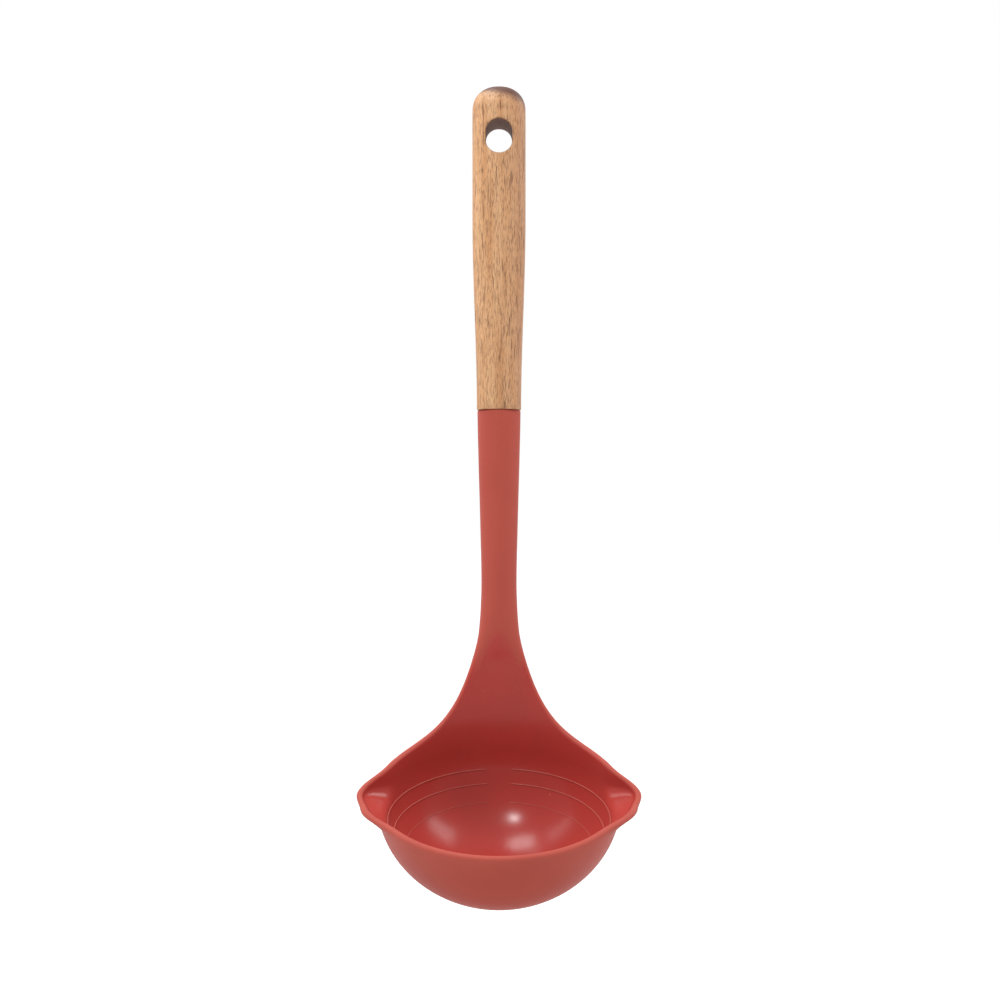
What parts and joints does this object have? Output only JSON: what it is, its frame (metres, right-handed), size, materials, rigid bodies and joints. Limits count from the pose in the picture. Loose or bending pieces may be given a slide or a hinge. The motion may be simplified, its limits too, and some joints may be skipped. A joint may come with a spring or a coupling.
{
  "type": "soup ladle",
  "caption": "Silicone soup ladle with a deep round bowl, side pouring spouts, graduation rings, and a wooden handle with a hanging slot.",
  "frame": {"origin": "centre of the hanging slot near the handle's end", "axes": "+Z along the handle away from the bowl; -Y the way the bowl opens and the slot faces; X from spout to spout"},
  "size_m": [0.0996, 0.0864, 0.295],
  "materials": {
    "red_silicone": "satin",
    "nylon": "matte",
    "epoxy": "gloss",
    "hardwood": "oiled satin"
  },
  "bodies": {
    "root": {"silicone_head": "red_silicone", "nylon_core": "nylon", "tang_adhesive": "epoxy", "wooden_handle": "hardwood"}
  },
  "joints": []
}
